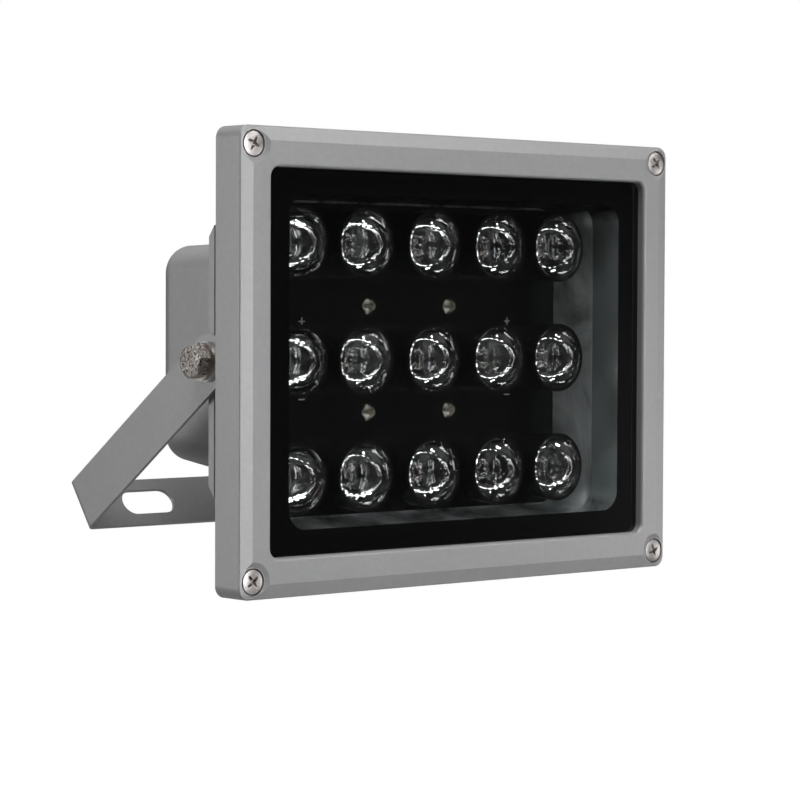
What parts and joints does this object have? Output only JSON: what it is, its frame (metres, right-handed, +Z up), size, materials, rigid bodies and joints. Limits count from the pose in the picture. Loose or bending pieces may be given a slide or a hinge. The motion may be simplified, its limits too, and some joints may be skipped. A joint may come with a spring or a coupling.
{
  "type": "infrared illuminator",
  "caption": "Infrared floodlight for cameras: cast housing with glass front over beam lenses, tilting in a bent strip bracket for wall or ceiling.",
  "frame": {"origin": "centre of the round hole in the bracket's base, on the face that meets the wall", "axes": "+Z up, the lamp looks along -Y, +X along the lamp's length and the pivot's axis"},
  "size_m": [0.1818, 0.0958, 0.139],
  "materials": {
    "powder_coat": "satin grey powder coat",
    "stainless_steel": "bright stainless",
    "zinc_steel": "zinc plated",
    "spring_steel": "dull yellow plated",
    "clear_glass": "clear, polished",
    "black_enamel": "black enamel printed on the glass",
    "bare_aluminium": "rolled sheet",
    "black_board": "black solder mask",
    "green_board": "green solder mask",
    "clear_lens": "clear moulded acrylic",
    "black_plastic": "black moulded",
    "emitter_resin": "dark clear resin",
    "grey_silicone": "moulded",
    "black_rubber": "moulded",
    "gland_plastic": "moulded nylon",
    "dark_ferrite": "sintered",
    "capacitor_sleeve": "shrunk sleeve",
    "terminal_plastic": "moulded"
  },
  "bodies": {
    "bracket": {"mounting_bracket": "powder_coat"},
    "lamp": {"front_frame": "powder_coat", "frame_screws": "stainless_steel", "glass_pane": "clear_glass", "glass_border": "black_enamel", "glass_gasket": "grey_silicone", "reflector_tray": "bare_aluminium", "led_board": "black_board", "board_screws": "zinc_steel", "housing": "powder_coat", "rear_cover": "powder_coat", "cover_gasket": "grey_silicone", "cover_screws": "stainless_steel", "driver_board": "green_board", "driver_screws": "zinc_steel", "driver_choke": "dark_ferrite", "driver_capacitor": "capacitor_sleeve", "terminal_block": "terminal_plastic", "gland_body": "gland_plastic", "gland_seal": "black_rubber", "gland_cap": "gland_plastic", "gland_nut": "gland_plastic", "pivot_bolts": "stainless_steel", "flat_washers": "stainless_steel", "spring_washers": "spring_steel", "lens_1_1": "clear_lens", "lens_1_2": "clear_lens", "lens_1_3": "clear_lens", "lens_1_4": "clear_lens", "lens_1_5": "clear_lens", "lens_2_1": "clear_lens", "lens_2_2": "clear_lens", "lens_2_3": "clear_lens", "lens_2_4": "clear_lens", "lens_2_5": "clear_lens", "lens_3_1": "clear_lens", "lens_3_2": "clear_lens", "lens_3_3": "clear_lens", "lens_3_4": "clear_lens", "lens_3_5": "clear_lens", "lens_holder_1_1": "black_plastic", "lens_holder_1_2": "black_plastic", "lens_holder_1_3": "black_plastic", "lens_holder_1_4": "black_plastic", "lens_holder_1_5": "black_plastic", "lens_holder_2_1": "black_plastic", "lens_holder_2_2": "black_plastic", "lens_holder_2_3": "black_plastic", "lens_holder_2_4": "black_plastic", "lens_holder_2_5": "black_plastic", "lens_holder_3_1": "black_plastic", "lens_holder_3_2": "black_plastic", "lens_holder_3_3": "black_plastic", "lens_holder_3_4": "black_plastic", "lens_holder_3_5": "black_plastic", "emitters_row_1": "emitter_resin", "emitters_row_2": "emitter_resin", "emitters_row_3": "emitter_resin"}
  },
  "joints": [
    {"name": "lamp_tilt", "type": "hinge", "parent": "bracket", "child": "lamp", "pos_m": [0, -0.06701, 0.04727], "axis": [1, 0, 0], "range_deg": [-125, 53]}
  ]
}
